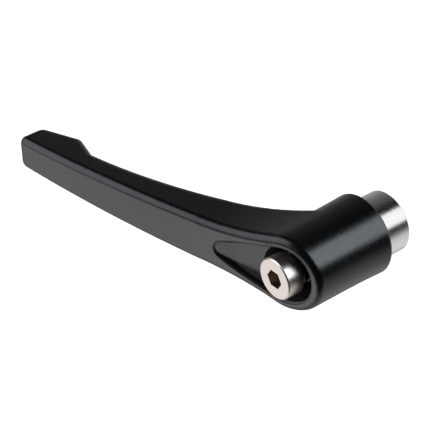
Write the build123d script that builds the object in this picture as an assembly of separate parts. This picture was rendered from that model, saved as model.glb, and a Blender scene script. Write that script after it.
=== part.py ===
from build123d import *
import math
import os

# Adjustable clamping lever with a threaded insert. Sizes in mm.
# Frame: +Z along the thread axis towards the retaining screw, z = 0 on the insert's seating
# face, +X along the arm. Rest state: handle down, serrations engaged.

# --- handle casting: hub ---
lever_length = 95.6          # thread axis to the end face of the arm
hub_head_radius = 11.65      # hub beside the arm
foot_flare = 0.4             # the hub grows by this much to its bottom rim
hub_bottom = 9.4             # height of the hub's bottom face
draft_end = 24.0             # height where the flare of the hub's foot runs out
hub_foot_round = 0.9
rim_round = 2.1              # round along the outer edge of the top face
under_round = 2.4            # round along the underside and up the corners of the end face

# --- handle casting: arm ---
arm_half_width = 7.36        # where the flare from the hub ends
flare_length = 16.85         # from the hub's side to where the flare ends
tip_half_width = 5.3
head_back_height = 35.5      # top face above the back of the hub
sweep_station = 8.0          # where the top face turns from hollow to bowed
sweep_height = 41.0
tip_height = 60.0            # top face at the end of the arm
mid_station = 40.0           # where bow and thickness of the arm's middle are given
arm_bow = 1.76               # top face above the straight line from sweep to tip
root_station = 4.0           # underside where it runs into the hub
root_height = 18.95
mid_thickness = 11.46        # arm from top face to underside at mid_station
notch_from_end = 22.0        # underside, inner corner of the finger stop
notch_thickness = 8.49
stop_from_end = 13.2         # lowest point of the finger stop
stop_thickness = 12.34
tip_thickness = 9.1
tip_under_round = 3.0        # rounds of the finger stop in side view
stop_round = 2.4
notch_round = 1.6

# --- handle casting: screw recess and scoop ---
land = 0.35                  # flat between the outer round and the round of the recess
recess_round = 1.0           # round where the recess opens in the top face
scoop_station = 19.2         # centre of the scoop's round start
scoop_radius = 2.9           # radius of the scoop's round start
scoop_depth = 2.8            # scoop floor below the top face at the screw pocket
scoop_lead = 0.9             # the floor would meet the top face this far beyond the scoop
scoop_foot_round = 1.2

# --- threaded insert ---
collar_radius = 9.1
collar_height = 15.0
end_chamfer = 0.6
thread_radius = 5.0          # M10
thread_depth = 14.0
mouth_chamfer = 0.5
boss_radius = 7.3
boss_chamfer = 0.5
insert_height = 23.0
drill_angle = 31.0           # of the cone between the two threads, in degrees

# --- serration ---
tooth_count = 24
tooth_tip_radius = 8.85
tooth_root_radius = 7.9
tooth_height = 4.0
tooth_start = 15.5           # height of the first tooth's foot
tooth_clearance = 0.12

# --- retaining screw ---
screw_head_radius = 6.13
screw_top = 41.6
screw_head_height = 5.3
screw_chamfer = 0.35
hex_across_flats = 5.0
hex_depth = 3.2
hex_point = 1.2              # drill point below the socket
shank_radius = 2.95          # M6
shank_end = 16.2

# --- spring ---
wire_radius = 0.55
spring_mean_radius = 4.45
spring_turns = 4.5

# --- fits ---
running_clearance = 0.2      # insert collar in the handle
boss_play = 0.3              # insert boss in the handle
thread_clearance = 0.05      # screw shank in the insert
spring_gap = 0.02            # at each end of the spring
shank_clearance = 0.45       # screw shank through the handle's web
web_thickness = 2.5

overcut = 1.0                # how far cutting shapes reach past the faces they cut

# --- derived ---
hub_foot_radius = hub_head_radius + foot_flare
flare_end = hub_head_radius + flare_length
top_slope = (tip_height - sweep_height) / (lever_length - sweep_station)
head_mid_height = sweep_height + top_slope * (mid_station - sweep_station) + arm_bow
recess_radius = hub_head_radius - rim_round - land - recess_round
web_bottom = insert_height
web_top = web_bottom + web_thickness
head_bottom = screw_top - screw_head_height
tooth_end = tooth_start + tooth_height
screw_thread_radius = shank_radius + thread_clearance
above_all = tip_height + 10.0


def top_curve(drop=0.0):
    """Side view of the top face, lowered by drop: hollow over the hub, bowed along the arm."""
    sweep = (sweep_station, sweep_height - drop)
    arm = ThreePointArc(
        sweep, (mid_station, head_mid_height - drop), (lever_length, tip_height - drop)
    )
    back = (-hub_foot_radius - overcut, head_back_height - drop)
    hub = TangentArc(sweep, back, tangent=(arm % 0) * -1.0)
    return Curve() + [hub, arm]


def below_top(x, depth):
    """Side-view point at x that lies depth below the top face."""
    across = Line((x, 0.0), (x, above_all))
    hits = [edge.intersect(across) for edge in top_curve(depth).edges()]
    return (x, [hit for hit in hits if hit][0].vertices()[0].Y)


def side_slab(outline):
    """Closed side-view outline drawn out past both sides of the hub."""
    half_width = hub_foot_radius + overcut
    return extrude(Plane.XZ * make_face(outline.edges()), amount=half_width, both=True)


def cylinder_between(radius, low, high):
    """Upright cylinder on the thread axis."""
    return extrude(Plane.XY.offset(low) * Circle(radius), amount=high - low)


def plan_outline():
    """Plan view of hub and arm: a circle, two hollow flares and a tapering arm."""
    reach = flare_end ** 2 + arm_half_width ** 2 - hub_head_radius ** 2
    flare_radius = reach / (2.0 * (hub_head_radius - arm_half_width))
    centre = Vector(flare_end, arm_half_width + flare_radius)
    touch = centre * (hub_head_radius / (hub_head_radius + flare_radius))
    middle_angle = (math.atan2(-centre.Y, -centre.X) - math.pi / 2.0) / 2.0
    middle = centre + Vector(math.cos(middle_angle), math.sin(middle_angle)) * flare_radius
    upper = [
        ThreePointArc((touch.X, touch.Y), (middle.X, middle.Y), (flare_end, arm_half_width)),
        Line((flare_end, arm_half_width), (lever_length, tip_half_width)),
    ]
    lower = [mirror(edge, about=Plane.XZ) for edge in upper]
    end = Line((lever_length, tip_half_width), (lever_length, -tip_half_width))
    back = (-hub_head_radius, 0.0)
    hub = ThreePointArc((touch.X, touch.Y), back, (touch.X, -touch.Y))
    return make_face(Curve() + upper + lower + [end, hub])


def arm_side():
    """Side view of the arm: bowed top, hollow underside and the finger stop at its end."""
    back_x, back_z = -hub_foot_radius - overcut, head_back_height
    root = (root_station, root_height)
    notch = below_top(lever_length - notch_from_end, notch_thickness)
    stop = below_top(lever_length - stop_from_end, stop_thickness)
    tip = (lever_length, tip_height - tip_thickness)
    outline = (
        top_curve()
        + Polyline((lever_length, tip_height), tip, stop, notch)
        + ThreePointArc(root, (mid_station, head_mid_height - mid_thickness), notch)
        + Polyline(root, (back_x, root_height), (back_x, back_z))
    )
    face = make_face(outline.edges())
    corners = [(tip, tip_under_round), (stop, stop_round), (notch, notch_round)]
    for (x, z), radius in corners:
        face = fillet(face.vertices().sort_by_distance((x, z, 0.0))[0:1], radius)
    return extrude(Plane.XZ * face, amount=hub_foot_radius, both=True)


def hub_body():
    """Hub: drafted below the arm, cylindrical beside it, cut off by the top face."""
    outline = (
        Polyline((0.0, hub_bottom), (hub_foot_radius, hub_bottom))
        + TangentArc(
            (hub_head_radius, draft_end),
            (hub_foot_radius, hub_bottom),
            tangent=(0.0, -1.0),
            tangent_from_first=True,
        )
        + Polyline(
            (hub_head_radius, draft_end),
            (hub_head_radius, above_all),
            (0.0, above_all),
            (0.0, hub_bottom),
        )
    )
    back_x = -hub_foot_radius - overcut
    under_top = top_curve() + Polyline(
        (lever_length, tip_height), (lever_length, 0.0), (back_x, 0.0), (back_x, head_back_height)
    )
    return revolve(Plane.XZ * make_face(outline.edges()), Axis.Z) & side_slab(under_top)


def outer_casting():
    """Outside of the handle, with its rounds, before the bores."""
    arm = extrude(plan_outline(), amount=above_all) & arm_side()
    body = hub_body() + arm

    under_faces = body.faces().filter_by(lambda f: f.normal_at().Z < -0.4).sort_by(Axis.X)[1:]
    end_face = body.faces().filter_by(Plane.YZ).sort_by(Axis.X)[-1]
    side_edges = [
        edge
        for face in under_faces + [end_face]
        for edge in face.edges()
        if edge.center().X > hub_foot_radius and abs(edge.center().Y) > tip_half_width / 2.0
    ]
    body = fillet(side_edges, under_round)

    top_face = body.faces().filter_by(lambda f: f.normal_at().Z > 0.8).sort_by(SortBy.AREA)[-1]
    body = fillet(top_face.edges(), rim_round)
    foot = body.edges().filter_by(GeomType.CIRCLE).group_by(Axis.Z)[0]
    return fillet(foot, hub_foot_round)


def teardrop(big_radius, small_radius, reach):
    """A circle on the axis and a smaller one at reach along X, joined by their tangents."""
    angle = math.acos((big_radius - small_radius) / reach)
    along, across = math.cos(angle), math.sin(angle)
    big = (big_radius * along, big_radius * across)
    small = (reach + small_radius * along, small_radius * across)
    outline = (
        ThreePointArc(big, (-big_radius, 0.0), (big[0], -big[1]))
        + Line((big[0], -big[1]), (small[0], -small[1]))
        + ThreePointArc((small[0], -small[1]), (reach + small_radius, 0.0), small)
        + Line(small, big)
    )
    return make_face(outline.edges())


def scoop_cutter():
    """Teardrop recess round the screw, its flat floor running out along the top of the arm."""
    prism = extrude(teardrop(recess_radius, scoop_radius, scoop_station), amount=above_all)
    deep = below_top(recess_radius, scoop_depth)
    run_out = below_top(scoop_station + scoop_radius + scoop_lead, 0.0)
    slope = (run_out[1] - deep[1]) / (run_out[0] - deep[0])
    start = (0.0, deep[1] - slope * deep[0])
    space = Polyline(start, run_out, (run_out[0], above_all), (0.0, above_all), close=True)
    cutter = prism & side_slab(space)
    floor = cutter.faces().filter_by(lambda f: f.normal_at().Z < -0.5).sort_by(SortBy.AREA)[-1]
    return fillet(floor.edges().sort_by(Axis.X)[1:], scoop_foot_round)


def round_recess_mouth(body):
    """Round along the recess where it opens in the top face."""
    inside = teardrop(recess_radius + land, scoop_radius + land, scoop_station)
    top_faces = body.faces().filter_by(GeomType.CYLINDER).filter_by(lambda f: f.normal_at().Z > 0.8)
    mouth = [
        edge
        for face in top_faces
        for edge in face.edges()
        if edge.geom_type != GeomType.LINE
        and inside.is_inside((edge.center().X, edge.center().Y, 0.0))
    ]
    return fillet(mouth, recess_round)


def star(tip_radius, root_radius):
    """Serration in plan: pointed teeth all the way round."""
    points = []
    for n in range(2 * tooth_count):
        radius = tip_radius if n % 2 == 0 else root_radius
        angle = math.pi * n / tooth_count
        points.append((radius * math.cos(angle), radius * math.sin(angle)))
    return make_face(Polyline(*points, close=True))


def lever_handle():
    """Zinc die casting: hub, arm, screw recess, web, inner serration and collar bore."""
    body = outer_casting() - scoop_cutter()
    body -= cylinder_between(recess_radius, web_top, above_all)
    body = round_recess_mouth(body)
    shank_hole = shank_radius + shank_clearance
    body -= cylinder_between(shank_hole, web_bottom - overcut, web_top + overcut)
    body -= cylinder_between(boss_radius + boss_play, tooth_start, web_bottom)
    body -= cylinder_between(collar_radius + running_clearance, 0.0, tooth_start)
    inner_star = star(tooth_tip_radius + tooth_clearance, tooth_root_radius + tooth_clearance)
    body -= extrude(Plane.XY.offset(tooth_start) * inner_star, amount=tooth_height)
    return body


def threaded_insert():
    """Turned insert: collar, outer serration and boss, threaded from both ends."""
    cone_height = (thread_radius - screw_thread_radius) * math.tan(math.radians(drill_angle))
    outline = Polyline(
        (thread_radius + mouth_chamfer, 0.0),
        (collar_radius - end_chamfer, 0.0),
        (collar_radius, end_chamfer),
        (collar_radius, collar_height),
        (tooth_root_radius, collar_height),
        (tooth_root_radius, tooth_end),
        (boss_radius, tooth_end),
        (boss_radius, insert_height - boss_chamfer),
        (boss_radius - boss_chamfer, insert_height),
        (screw_thread_radius + boss_chamfer, insert_height),
        (screw_thread_radius, insert_height - boss_chamfer),
        (screw_thread_radius, thread_depth + cone_height),
        (thread_radius, thread_depth),
        (thread_radius, mouth_chamfer),
        close=True,
    )
    body = revolve(Plane.XZ * make_face(outline), Axis.Z)
    ring = star(tooth_tip_radius, tooth_root_radius) - Circle((thread_radius + boss_radius) / 2.0)
    return body + extrude(Plane.XY.offset(tooth_start) * ring, amount=tooth_height)


def retaining_screw():
    """Cylinder-head screw with a hexagon socket, head up."""
    outline = Polyline(
        (0.0, shank_end),
        (shank_radius - screw_chamfer, shank_end),
        (shank_radius, shank_end + screw_chamfer),
        (shank_radius, head_bottom),
        (screw_head_radius - screw_chamfer / 2.0, head_bottom),
        (screw_head_radius, head_bottom + screw_chamfer / 2.0),
        (screw_head_radius, screw_top - screw_chamfer),
        (screw_head_radius - screw_chamfer, screw_top),
        (0.0, screw_top),
        close=True,
    )
    body = revolve(Plane.XZ * make_face(outline), Axis.Z)
    hexagon = RegularPolygon(hex_across_flats / 2.0, 6, major_radius=False)
    socket = extrude(Plane.XY.offset(screw_top - hex_depth) * hexagon, amount=hex_depth)
    drill = Plane.XY.offset(screw_top - hex_depth) * Pos(0, 0, -hex_point / 2.0)
    point = drill * Cone(0.0, hex_across_flats / 2.0, hex_point)
    return body - socket - point


def compression_spring():
    """Open coil between the handle's web and the underside of the screw head."""
    low = web_top + wire_radius + spring_gap
    high = head_bottom - wire_radius - spring_gap
    pitch = (high - low) / spring_turns
    path = Pos(0.0, 0.0, low) * Helix(pitch, high - low, spring_mean_radius)
    section = Plane(path @ 0, z_dir=path % 0) * Circle(wire_radius)
    return sweep(section, path)


parts = {
    "lever_handle": lever_handle,
    "threaded_insert": threaded_insert,
    "retaining_screw": retaining_screw,
    "compression_spring": compression_spring,
}

os.makedirs("parts", exist_ok=True)
for name, make in parts.items():
    export_step(make(), f"parts/{name}.step")
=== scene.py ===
"""Adjustable clamping lever: camera, studio, finishes, thread turns and spring coil."""
import math

import bpy
from mathutils import Matrix, Vector


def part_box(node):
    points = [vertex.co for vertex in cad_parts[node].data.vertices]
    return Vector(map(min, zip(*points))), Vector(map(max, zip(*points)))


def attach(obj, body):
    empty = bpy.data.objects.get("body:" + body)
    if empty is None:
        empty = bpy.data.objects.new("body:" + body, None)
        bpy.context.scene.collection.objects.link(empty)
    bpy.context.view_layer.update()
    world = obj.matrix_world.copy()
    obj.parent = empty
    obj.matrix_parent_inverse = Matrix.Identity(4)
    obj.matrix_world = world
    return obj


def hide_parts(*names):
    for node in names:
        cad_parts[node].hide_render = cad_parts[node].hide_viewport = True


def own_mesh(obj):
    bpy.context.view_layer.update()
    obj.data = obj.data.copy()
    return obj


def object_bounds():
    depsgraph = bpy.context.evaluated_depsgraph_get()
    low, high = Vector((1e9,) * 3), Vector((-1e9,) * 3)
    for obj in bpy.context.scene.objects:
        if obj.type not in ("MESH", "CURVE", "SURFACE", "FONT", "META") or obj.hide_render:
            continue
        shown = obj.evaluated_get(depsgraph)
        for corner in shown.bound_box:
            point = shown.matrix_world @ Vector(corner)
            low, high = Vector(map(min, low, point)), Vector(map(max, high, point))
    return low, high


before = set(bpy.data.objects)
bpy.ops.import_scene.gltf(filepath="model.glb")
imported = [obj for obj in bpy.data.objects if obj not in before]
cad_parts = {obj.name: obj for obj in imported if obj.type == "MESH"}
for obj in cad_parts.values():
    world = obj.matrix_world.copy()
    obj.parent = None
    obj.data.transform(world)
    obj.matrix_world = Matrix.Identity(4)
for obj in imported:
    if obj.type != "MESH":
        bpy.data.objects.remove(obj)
cad_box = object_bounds()
scene = bpy.context.scene
MM = 0.001

# --- camera, in the frame of the part ---
AIM = Vector((29.1, 0.0, 36.0)) * MM     # on the optical axis, in the arm's middle plane
CAMERA_AZIMUTH = -46.74                  # degrees, 0 looks along +Y
CAMERA_ELEVATION = 29.91
CAMERA_ROLL = -116.28                    # the lever lies over on its side in the picture
CAMERA_DISTANCE = 0.4745
CAMERA_LENS = 137.84
SENSOR_WIDTH = 36.0

# --- floor ---
FLOOR_DROP = 0.35                        # floor below the part's lowest point
FLOOR_SIZE = 6.0
FLOOR_SHADE = 0.85
FLOOR_ROUGHNESS = 0.9
FLOOR_GLOW = 0.8                         # added for the camera alone, so that it shows white

# --- world: directions are (right, up, towards the camera) in the picture; starts and ends are
# cosines from that direction ---
SWEEP_MIDDLE = (0.35, -0.8, -0.49)       # white sweep below and behind the part
SWEEP_START, SWEEP_FULL = -0.9, 0.95
SWEEP_LEVEL = 0.8
FRONT_START, FRONT_FULL = -0.1, 0.22     # the sweep fades out on the camera's side
FRONT_LEVEL = 0.03                       # share of it that is left there
BEHIND_MIDDLE = (-0.13, -0.45, -0.88)    # and is dimmer straight behind the part
BEHIND_START, BEHIND_FULL = 0.8, 0.9
BEHIND_LEVEL = 0.62                      # share of it that is left there
LEFT_MIDDLE = (-0.8, -0.55, -0.25)       # extra light low on the left
LEFT_START, LEFT_FULL = 0.9, 0.985
LEFT_LEVEL = 1.0
LOW_MIDDLE = (-0.58, -0.81, 0.0)         # and below that
LOW_START, LOW_FULL = 0.93, 0.99
LOW_LEVEL = 1.35

# --- lamps: facing and along are directions as above ---
LAMP_DISTANCE = 0.9
KEY_FACING, KEY_ALONG = (0.837, 0.384, 0.389), (-0.44, 0.9, 0.0)
KEY_WIDTH, KEY_HEIGHT = 0.66, 0.9
KEY_LEVEL, KEY_COLOR = 4.1, (0.9, 1.0, 1.07)
# the insert has a weaker key of its own, which keeps the collar's band short of white
INSERT_KEY_LEVEL, INSERT_KEY_COLOR = 1.3, (1.0, 1.0, 1.0)
SIDE_FACING, SIDE_ALONG = (-0.914, 0.303, 0.27), (0.36, 1.09, 0.22)
SIDE_WIDTH, SIDE_HEIGHT = 1.08, 0.9
SIDE_LEVEL, SIDE_COLOR = 2.0, (1.0, 0.98, 1.1)

# --- powder coat ---
COAT_IOR = 1.5
COAT_COLOR = (0.004, 0.004, 0.0042)
COAT_GLOSS = (0.25, 0.31)                # range of its roughness
COAT_GLOSS_SCALE = 900.0
PEEL_SCALE = 2600.0
PEEL_STRENGTH = 0.12
PEEL_HEIGHT = 0.02 * MM

# --- painted light: a lighter coat colour in the screw's recess and its scoop, also rougher ---
RECESS_PAINTED_LIGHT_COLOR = (0.06, 0.06, 0.061)
RECESS_EXTRA_ROUGHNESS = 0.08                  # added to the roughness
POCKET_RADIUS = 8.5 * MM                 # round the thread axis
POCKET_TAPER = 0.26                      # narrower along the arm
POCKET_TOP = 37.9 * MM                   # sloping roof, just under the lever's top face
POCKET_SLOPE = 0.27
POCKET_DEPTH = 7.0 * MM
POCKET_EDGE = 0.2 * MM                   # over which it fades, at its side and its bottom
POCKET_ROOF_EDGE = 0.5 * MM

# --- steels ---
INSERT_COLOR, INSERT_ROUGHNESS, INSERT_GROOVE = (0.88, 0.87, 0.85), 0.23, 0.3
SCREW_COLOR, SCREW_ROUGHNESS, SCREW_GROOVE = (0.76, 0.69, 0.645), 0.35, 0.15
SPRING_COLOR, SPRING_ROUGHNESS, SPRING_GROOVE = (0.3, 0.29, 0.28), 0.35, 0.1
SOCKET_COLOR, SOCKET_RADIUS = (0.36, 0.3, 0.24), 3.0 * MM
SOCKET_EDGE = 0.1 * MM
SOCKET_START, SOCKET_FULL = 0.05 * MM, 0.2 * MM    # below the screw's face
STEEL_SHADE = 0.8                        # darkest grain
STEEL_GLOSS = (0.8, 1.25)                # range of the roughness, as shares of its middle
GRAIN_SCALE = 2500.0
GROOVE_SCALE = 9000.0
GROOVE_HEIGHT = 0.004 * MM

# --- M10 thread in the insert ---
THREAD_PITCH = 1.5 * MM
THREAD_RADIUS = 5.0 * MM
THREAD_CREST = 4.19 * MM
THREAD_START = 0.7 * MM
THREAD_END = 13.2 * MM
THREAD_STEPS = 72                        # sections per turn
THREAD_FADE = 1.5                        # share of the full height gained per turn at each end
THREAD_LEAST = 0.02                      # share of the full height at the very ends
THREAD_FOOT, THREAD_FLAT = 0.44, 0.125   # half widths of the ridge, as shares of the pitch
THREAD_SINK = 0.02 * MM                  # the ridge's foot reaches into the wall

# --- spring ---
SPRING_WIRE = 0.55 * MM
SPRING_TURNS = 5.5
SPRING_STEPS = 48
SPRING_RING = 12                         # points round the wire
CLOSED_TURNS = 0.75                      # at each end
CLOSED_PITCH = 0.9                       # rise per closed turn, as a share of the wire's radius


def picture_axes():
    """Right, up and towards-the-camera directions of the photograph's view."""
    azimuth, elevation = math.radians(CAMERA_AZIMUTH), math.radians(CAMERA_ELEVATION)
    back = Vector((
        math.sin(azimuth) * math.cos(elevation),
        -math.cos(azimuth) * math.cos(elevation),
        math.sin(elevation),
    ))
    level = Vector((0.0, 0.0, 1.0)).cross(back).normalized()
    right = Matrix.Rotation(math.radians(CAMERA_ROLL), 3, back) @ level
    return right, back.cross(right), back


RIGHT, UP, BACK = picture_axes()


def studio_direction(right, up, back):
    """A direction of the room, given along the picture's axes."""
    return (RIGHT * right + UP * up + BACK * back).normalized()


def make_camera():
    """The camera at the photograph's place, with its roll."""
    data = bpy.data.cameras.new("camera")
    data.lens = CAMERA_LENS
    data.sensor_width = SENSOR_WIDTH
    data.clip_start = 0.01
    data.clip_end = 20.0
    camera = bpy.data.objects.new("camera", data)
    axes = Matrix((RIGHT, UP, BACK)).transposed().to_4x4()
    camera.matrix_world = Matrix.Translation(AIM + BACK * CAMERA_DISTANCE) @ axes
    scene.collection.objects.link(camera)
    scene.camera = camera


def softbox(name, facing, along, width, height, level, color, lit=None):
    """An area lamp that faces the part, its width along a direction. White has a level of 1.

    It lights only the objects in lit, where that is given.
    """
    data = bpy.data.lights.new(name, "AREA")
    data.shape = "RECTANGLE"
    data.size = width
    data.size_y = height
    data.energy = level * math.pi * width * height
    data.color = color
    lamp = bpy.data.objects.new(name, data)
    side = (along - facing * along.dot(facing)).normalized()
    axes = Matrix((side, facing.cross(side), facing)).transposed().to_4x4()
    lamp.matrix_world = Matrix.Translation(AIM + facing * LAMP_DISTANCE) @ axes
    lamp.visible_camera = False
    scene.collection.objects.link(lamp)
    if lit:
        lamp.light_linking.receiver_collection = bpy.data.collections.new(name + "_lit")
        for piece in lit:
            lamp.light_linking.receiver_collection.objects.link(piece)


def make_world():
    """White sweep below and behind the part in the picture, dark above it and in front."""
    world = bpy.data.worlds.new("room")
    scene.world = world
    world.use_nodes = True
    nodes, links = world.node_tree.nodes, world.node_tree.links
    nodes.clear()
    place = nodes.new("ShaderNodeTexCoord")

    def toward(direction, *span, smooth=True):
        along = nodes.new("ShaderNodeVectorMath")
        along.operation = "DOT_PRODUCT"
        along.inputs[1].default_value = direction
        links.new(place.outputs["Generated"], along.inputs[0])
        return ranged(nodes, links, along.outputs["Value"], *span, smooth=smooth)

    level = toward(studio_direction(*SWEEP_MIDDLE), 0.0, SWEEP_LEVEL, SWEEP_START, SWEEP_FULL,
                   smooth=False)
    for operation, patch in (
        ("MULTIPLY", toward(BACK, 1.0, FRONT_LEVEL, FRONT_START, FRONT_FULL)),
        ("MULTIPLY", toward(studio_direction(*BEHIND_MIDDLE), 1.0, BEHIND_LEVEL,
                            BEHIND_START, BEHIND_FULL)),
        ("ADD", toward(studio_direction(*LEFT_MIDDLE), 0.0, LEFT_LEVEL, LEFT_START, LEFT_FULL)),
        ("ADD", toward(studio_direction(*LOW_MIDDLE), 0.0, LOW_LEVEL, LOW_START, LOW_FULL)),
    ):
        level = calculate(nodes, links, operation, level, patch)

    out = nodes.new("ShaderNodeOutputWorld")
    mix = nodes.new("ShaderNodeMixShader")
    path = nodes.new("ShaderNodeLightPath")
    white = nodes.new("ShaderNodeBackground")
    room = nodes.new("ShaderNodeBackground")
    for background in (white, room):
        background.inputs["Color"].default_value = (1.0, 1.0, 1.0, 1.0)
    links.new(level, room.inputs["Strength"])
    links.new(path.outputs["Is Camera Ray"], mix.inputs["Fac"])
    links.new(room.outputs["Background"], mix.inputs[1])
    links.new(white.outputs["Background"], mix.inputs[2])
    links.new(mix.outputs["Shader"], out.inputs["Surface"])


def make_floor():
    """Pale floor, white to the camera."""
    low = cad_box[0].z - FLOOR_DROP
    mesh = bpy.data.meshes.new("floor")
    half = FLOOR_SIZE / 2
    corners = [(-half, -half, low), (half, -half, low), (half, half, low), (-half, half, low)]
    mesh.from_pydata(corners, [], [(0, 1, 2, 3)])
    floor = bpy.data.objects.new("floor", mesh)
    scene.collection.objects.link(floor)
    floor.visible_glossy = False
    material, nodes, links = new_material("floor_white")
    shader = nodes["Principled BSDF"]
    shader.inputs["Base Color"].default_value = (FLOOR_SHADE, FLOOR_SHADE, FLOOR_SHADE, 1.0)
    shader.inputs["Roughness"].default_value = FLOOR_ROUGHNESS
    shader.inputs["Emission Color"].default_value = (1.0, 1.0, 1.0, 1.0)
    path = nodes.new("ShaderNodeLightPath")
    glow = calculate(nodes, links, "MULTIPLY", path.outputs["Is Camera Ray"], FLOOR_GLOW)
    links.new(glow, shader.inputs["Emission Strength"])
    mesh.materials.append(material)
    return floor


def new_material(name):
    """A node material, with its nodes and its links."""
    material = bpy.data.materials.new(name)
    material.use_nodes = True
    return material, material.node_tree.nodes, material.node_tree.links


def noise(nodes, links, vector, scale, detail=2.0):
    """A noise texture at scale per metre."""
    texture = nodes.new("ShaderNodeTexNoise")
    texture.inputs["Scale"].default_value = scale
    texture.inputs["Detail"].default_value = detail
    links.new(vector, texture.inputs["Vector"])
    return texture.outputs["Fac"]


def ranged(nodes, links, value, low, high, start=0.3, stop=0.7, smooth=False):
    """Maps a value from start to stop onto low to high, and no further."""
    span = nodes.new("ShaderNodeMapRange")
    span.interpolation_type = "SMOOTHSTEP" if smooth else "LINEAR"
    span.inputs["From Min"].default_value = start
    span.inputs["From Max"].default_value = stop
    span.inputs["To Min"].default_value = low
    span.inputs["To Max"].default_value = high
    links.new(value, span.inputs["Value"])
    return span.outputs["Result"]


def bumped(nodes, links, shader, height, strength, distance):
    """Gives a shader a bump from a height of 0 to 1."""
    bump = nodes.new("ShaderNodeBump")
    bump.inputs["Strength"].default_value = strength
    bump.inputs["Distance"].default_value = distance
    links.new(height, bump.inputs["Height"])
    links.new(bump.outputs["Normal"], shader.inputs["Normal"])


def blend_colors(nodes, links, factor, first, second):
    """Mixes two colours, each a triple or a socket."""
    mix = nodes.new("ShaderNodeMix")
    mix.data_type = "RGBA"
    links.new(factor, mix.inputs["Factor"])
    for socket, color in ((mix.inputs[6], first), (mix.inputs[7], second)):
        if isinstance(color, bpy.types.NodeSocket):
            links.new(color, socket)
        else:
            socket.default_value = (*color, 1.0)
    return mix.outputs[2]


def calculate(nodes, links, operation, *values):
    """One step of arithmetic on sockets and numbers."""
    step = nodes.new("ShaderNodeMath")
    step.operation = operation
    for socket, value in zip(step.inputs, values):
        if isinstance(value, bpy.types.NodeSocket):
            links.new(value, socket)
        else:
            socket.default_value = value
    return step.outputs["Value"]


def pocket_mask(nodes, links, place):
    """One inside the screw's recess and the scoop that leads to it, nought outside: where light is
    painted into the coat.
    """
    parts = nodes.new("ShaderNodeSeparateXYZ")
    links.new(place, parts.inputs["Vector"])
    x, y, z = (parts.outputs[axis] for axis in "XYZ")
    ahead = calculate(nodes, links, "MAXIMUM", x, 0.0)
    behind = calculate(nodes, links, "MINIMUM", x, 0.0)
    across = calculate(nodes, links, "SQRT", calculate(
        nodes, links, "ADD",
        calculate(nodes, links, "MULTIPLY", behind, behind),
        calculate(nodes, links, "MULTIPLY", y, y)))
    reach = calculate(nodes, links, "MULTIPLY_ADD", ahead, POCKET_TAPER, across)
    inside = ranged(nodes, links, reach, 1.0, 0.0, POCKET_RADIUS - POCKET_EDGE, POCKET_RADIUS)
    roof = calculate(nodes, links, "MULTIPLY_ADD", x, POCKET_SLOPE, POCKET_TOP)
    depth = calculate(nodes, links, "SUBTRACT", roof, z)
    below = ranged(nodes, links, depth, 0.0, 1.0, 0.0, POCKET_ROOF_EDGE)
    shallow = ranged(nodes, links, depth, 1.0, 0.0, POCKET_DEPTH, POCKET_DEPTH + POCKET_EDGE)
    both = calculate(nodes, links, "MULTIPLY", inside, below)
    return calculate(nodes, links, "MULTIPLY", both, shallow)


def powder_coat():
    """Fine satin black powder coat: soft orange peel, an uneven gloss, and painted light in the
    recess, which is lighter in colour and rougher.
    """
    material, nodes, links = new_material("powder_coat")
    shader = nodes["Principled BSDF"]
    place = nodes.new("ShaderNodeTexCoord").outputs["Object"]
    shader.inputs["IOR"].default_value = COAT_IOR
    pocket = pocket_mask(nodes, links, place)
    # painted light: the coat's colour is lighter inside the recess and its scoop
    links.new(blend_colors(nodes, links, pocket, COAT_COLOR, RECESS_PAINTED_LIGHT_COLOR),
              shader.inputs["Base Color"])
    gloss = ranged(nodes, links, noise(nodes, links, place, COAT_GLOSS_SCALE, 3.0), *COAT_GLOSS)
    gloss = calculate(nodes, links, "MULTIPLY_ADD", pocket, RECESS_EXTRA_ROUGHNESS, gloss)
    links.new(gloss, shader.inputs["Roughness"])
    bumped(nodes, links, shader, noise(nodes, links, place, PEEL_SCALE), PEEL_STRENGTH, PEEL_HEIGHT)
    return material


def turned_steel(name, color, roughness, groove, face=None):
    """Steel with a fine grain, and turned grooves round the thread axis.

    Where the height of a screw's face is given, the socket below it is darker.
    """
    material, nodes, links = new_material(name)
    shader = nodes["Principled BSDF"]
    shader.inputs["Metallic"].default_value = 1.0
    place = nodes.new("ShaderNodeTexCoord").outputs["Object"]
    parts = nodes.new("ShaderNodeSeparateXYZ")
    links.new(place, parts.inputs["Vector"])
    flat = nodes.new("ShaderNodeCombineXYZ")
    links.new(parts.outputs["X"], flat.inputs["X"])
    links.new(parts.outputs["Y"], flat.inputs["Y"])
    radius = nodes.new("ShaderNodeVectorMath")
    radius.operation = "LENGTH"
    links.new(flat.outputs["Vector"], radius.inputs[0])
    rings = nodes.new("ShaderNodeCombineXYZ")
    links.new(radius.outputs["Value"], rings.inputs["X"])
    links.new(parts.outputs["Z"], rings.inputs["Y"])
    fine = noise(nodes, links, rings.outputs["Vector"], GROOVE_SCALE)
    grain = noise(nodes, links, place, GRAIN_SCALE, 3.0)
    shade = blend_colors(nodes, links, ranged(nodes, links, grain, 0.0, 1.0),
                         [channel * STEEL_SHADE for channel in color], color)
    if face is not None:
        inside = ranged(nodes, links, radius.outputs["Value"], 1.0, 0.0,
                        SOCKET_RADIUS, SOCKET_RADIUS + SOCKET_EDGE)
        below = ranged(nodes, links, parts.outputs["Z"], 1.0, 0.0,
                       face - SOCKET_FULL, face - SOCKET_START)
        both = calculate(nodes, links, "MULTIPLY", inside, below)
        shade = blend_colors(nodes, links, both, shade, SOCKET_COLOR)
    links.new(shade, shader.inputs["Base Color"])
    links.new(ranged(nodes, links, grain, *(roughness * share for share in STEEL_GLOSS)),
              shader.inputs["Roughness"])
    bumped(nodes, links, shader, fine, groove, GROOVE_HEIGHT)
    return material


def dress(node, material):
    """Gives a CAD node its finish."""
    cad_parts[node].data.materials.clear()
    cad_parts[node].data.materials.append(material)


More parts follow.
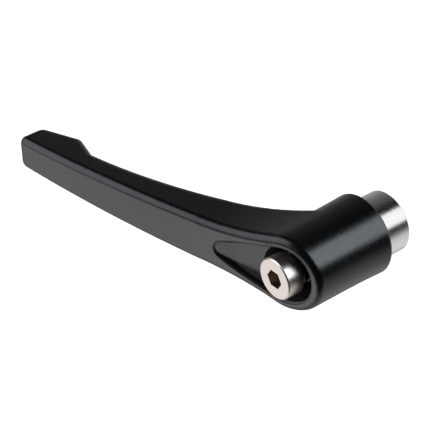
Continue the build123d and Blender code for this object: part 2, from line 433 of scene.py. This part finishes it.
def mesh_piece(name, points, faces, material, smooth=True):
    """A new object of the part, in its material."""
    mesh = bpy.data.meshes.new(name)
    mesh.from_pydata(points, [], faces)
    mesh.update()
    for polygon in mesh.polygons:
        polygon.use_smooth = smooth
    mesh.materials.append(material)
    piece = bpy.data.objects.new(name, mesh)
    scene.collection.objects.link(piece)
    return piece


def swept_rings(sections, ring_size):
    """Faces of a tube whose sections follow each other, closed at both ends."""
    faces = []
    for i in range(sections - 1):
        for j in range(ring_size):
            k = (j + 1) % ring_size
            a, b = i * ring_size, (i + 1) * ring_size
            faces.append((a + j, a + k, b + k, b + j))
    faces.append(tuple(range(ring_size))[::-1])
    last = (sections - 1) * ring_size
    faces.append(tuple(last + j for j in range(ring_size)))
    return faces


def thread_turns(material):
    """The M10 thread's ridge, which starts and ends by fading into the bore."""
    turns = (THREAD_END - THREAD_START) / THREAD_PITCH
    count = int(turns * THREAD_STEPS)
    points = []
    for i in range(count + 1):
        turn = i / THREAD_STEPS
        angle = 2.0 * math.pi * turn
        height = THREAD_START + THREAD_PITCH * turn
        fade = min(1.0, THREAD_FADE * turn, THREAD_FADE * (turns - turn))
        crest = THREAD_RADIUS - (THREAD_RADIUS - THREAD_CREST) * max(fade, THREAD_LEAST)
        foot = THREAD_RADIUS + THREAD_SINK
        for radius, rise in ((foot, -THREAD_FOOT), (crest, -THREAD_FLAT),
                             (crest, THREAD_FLAT), (foot, THREAD_FOOT)):
            points.append((
                radius * math.cos(angle),
                radius * math.sin(angle),
                height + rise * THREAD_PITCH * (1.0 if radius == foot else fade),
            ))
    piece = mesh_piece("thread_turns", points, swept_rings(count + 1, 4), material, smooth=False)
    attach(piece, "base")
    return piece


def spring_coil(material):
    """The spring with closed and ground ends, squashed by the handle as it is lifted."""
    low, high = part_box("compression_spring")
    mean = (high.x - low.x) / 2 - SPRING_WIRE
    bottom, top = low.z + SPRING_WIRE, high.z - SPRING_WIRE
    closed_rise = SPRING_WIRE * CLOSED_PITCH
    free_rise = top - bottom - closed_rise * 2.0 * CLOSED_TURNS
    count = int(SPRING_TURNS * SPRING_STEPS)
    points = []
    for i in range(count + 1):
        turn = i / SPRING_STEPS
        angle = 2.0 * math.pi * turn
        free = (turn - CLOSED_TURNS) / (SPRING_TURNS - 2.0 * CLOSED_TURNS)
        first, last = min(turn, CLOSED_TURNS), min(SPRING_TURNS - turn, CLOSED_TURNS)
        height = bottom + closed_rise * (first - last + CLOSED_TURNS)
        height += min(max(free, 0.0), 1.0) * free_rise
        outward = Vector((math.cos(angle), math.sin(angle), 0.0))
        centre = outward * mean + Vector((0.0, 0.0, height))
        for j in range(SPRING_RING):
            around = 2.0 * math.pi * j / SPRING_RING
            point = centre + outward * (SPRING_WIRE * math.cos(around))
            point.z += SPRING_WIRE * math.sin(around)
            point.z = min(max(point.z, low.z), high.z)
            points.append(point)
    piece = mesh_piece("spring_coil", points, swept_rings(count + 1, SPRING_RING), material)
    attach(piece, "spring")
    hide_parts("compression_spring")
    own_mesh(piece)
    return piece


scene.view_settings.view_transform = "Standard"
make_camera()
make_world()
floor = make_floor()

dress("lever_handle", powder_coat())
insert_steel = turned_steel("insert_steel", INSERT_COLOR, INSERT_ROUGHNESS, INSERT_GROOVE)
dress("threaded_insert", insert_steel)
screw_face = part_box("retaining_screw")[1].z
dress("retaining_screw",
      turned_steel("screw_steel", SCREW_COLOR, SCREW_ROUGHNESS, SCREW_GROOVE, screw_face))
thread = thread_turns(insert_steel)
spring = spring_coil(turned_steel("spring_steel", SPRING_COLOR, SPRING_ROUGHNESS, SPRING_GROOVE))

insert = [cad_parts["threaded_insert"], thread]
others = [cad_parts["lever_handle"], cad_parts["retaining_screw"], spring, floor]
for name, lit, level, color in (("key", others, KEY_LEVEL, KEY_COLOR),
                                ("insert_key", insert, INSERT_KEY_LEVEL, INSERT_KEY_COLOR)):
    softbox(name, studio_direction(*KEY_FACING), studio_direction(*KEY_ALONG),
            KEY_WIDTH, KEY_HEIGHT, level, color, lit)
softbox("side", studio_direction(*SIDE_FACING), studio_direction(*SIDE_ALONG),
        SIDE_WIDTH, SIDE_HEIGHT, SIDE_LEVEL, SIDE_COLOR)
